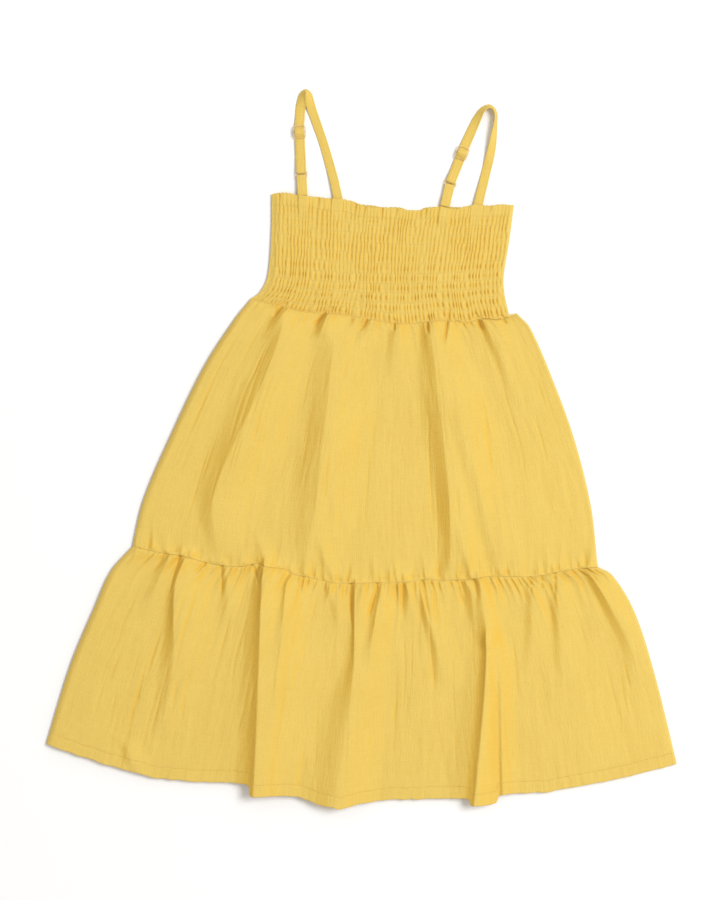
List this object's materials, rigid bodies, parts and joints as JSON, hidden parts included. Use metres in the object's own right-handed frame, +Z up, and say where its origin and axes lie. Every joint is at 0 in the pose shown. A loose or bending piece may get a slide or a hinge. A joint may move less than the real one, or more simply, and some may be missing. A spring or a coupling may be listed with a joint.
{
  "type": "child's spaghetti strap dress, laid flat",
  "caption": "Child's strappy sundress laid flat: shirred bodice with ruffled header, gathered A-line skirt, gathered hem tier, ribbon straps with slider and ring.",
  "frame": {"origin": "middle of the dress as it lies, on the surface that it lies on", "axes": "+X to the right as the front is looked at, +Y from hem to straps, +Z up from the surface"},
  "size_m": [0.542, 0.6184, 0.0161],
  "materials": {
    "cloth": "crinkled yellow cotton double gauze, matt",
    "trim": "coated slider and ring in a tone of the cloth"
  },
  "bodies": {
    "root": {"bodice_front": "cloth", "bodice_back": "cloth", "skirt_front": "cloth", "skirt_back": "cloth", "tier_front": "cloth", "tier_back": "cloth", "strap_left": "cloth", "strap_right": "cloth", "strap_tab_left": "cloth", "strap_tab_right": "cloth", "strap_slider_left": "trim", "strap_slider_right": "trim", "strap_ring_left": "trim", "strap_ring_right": "trim"}
  },
  "joints": []
}
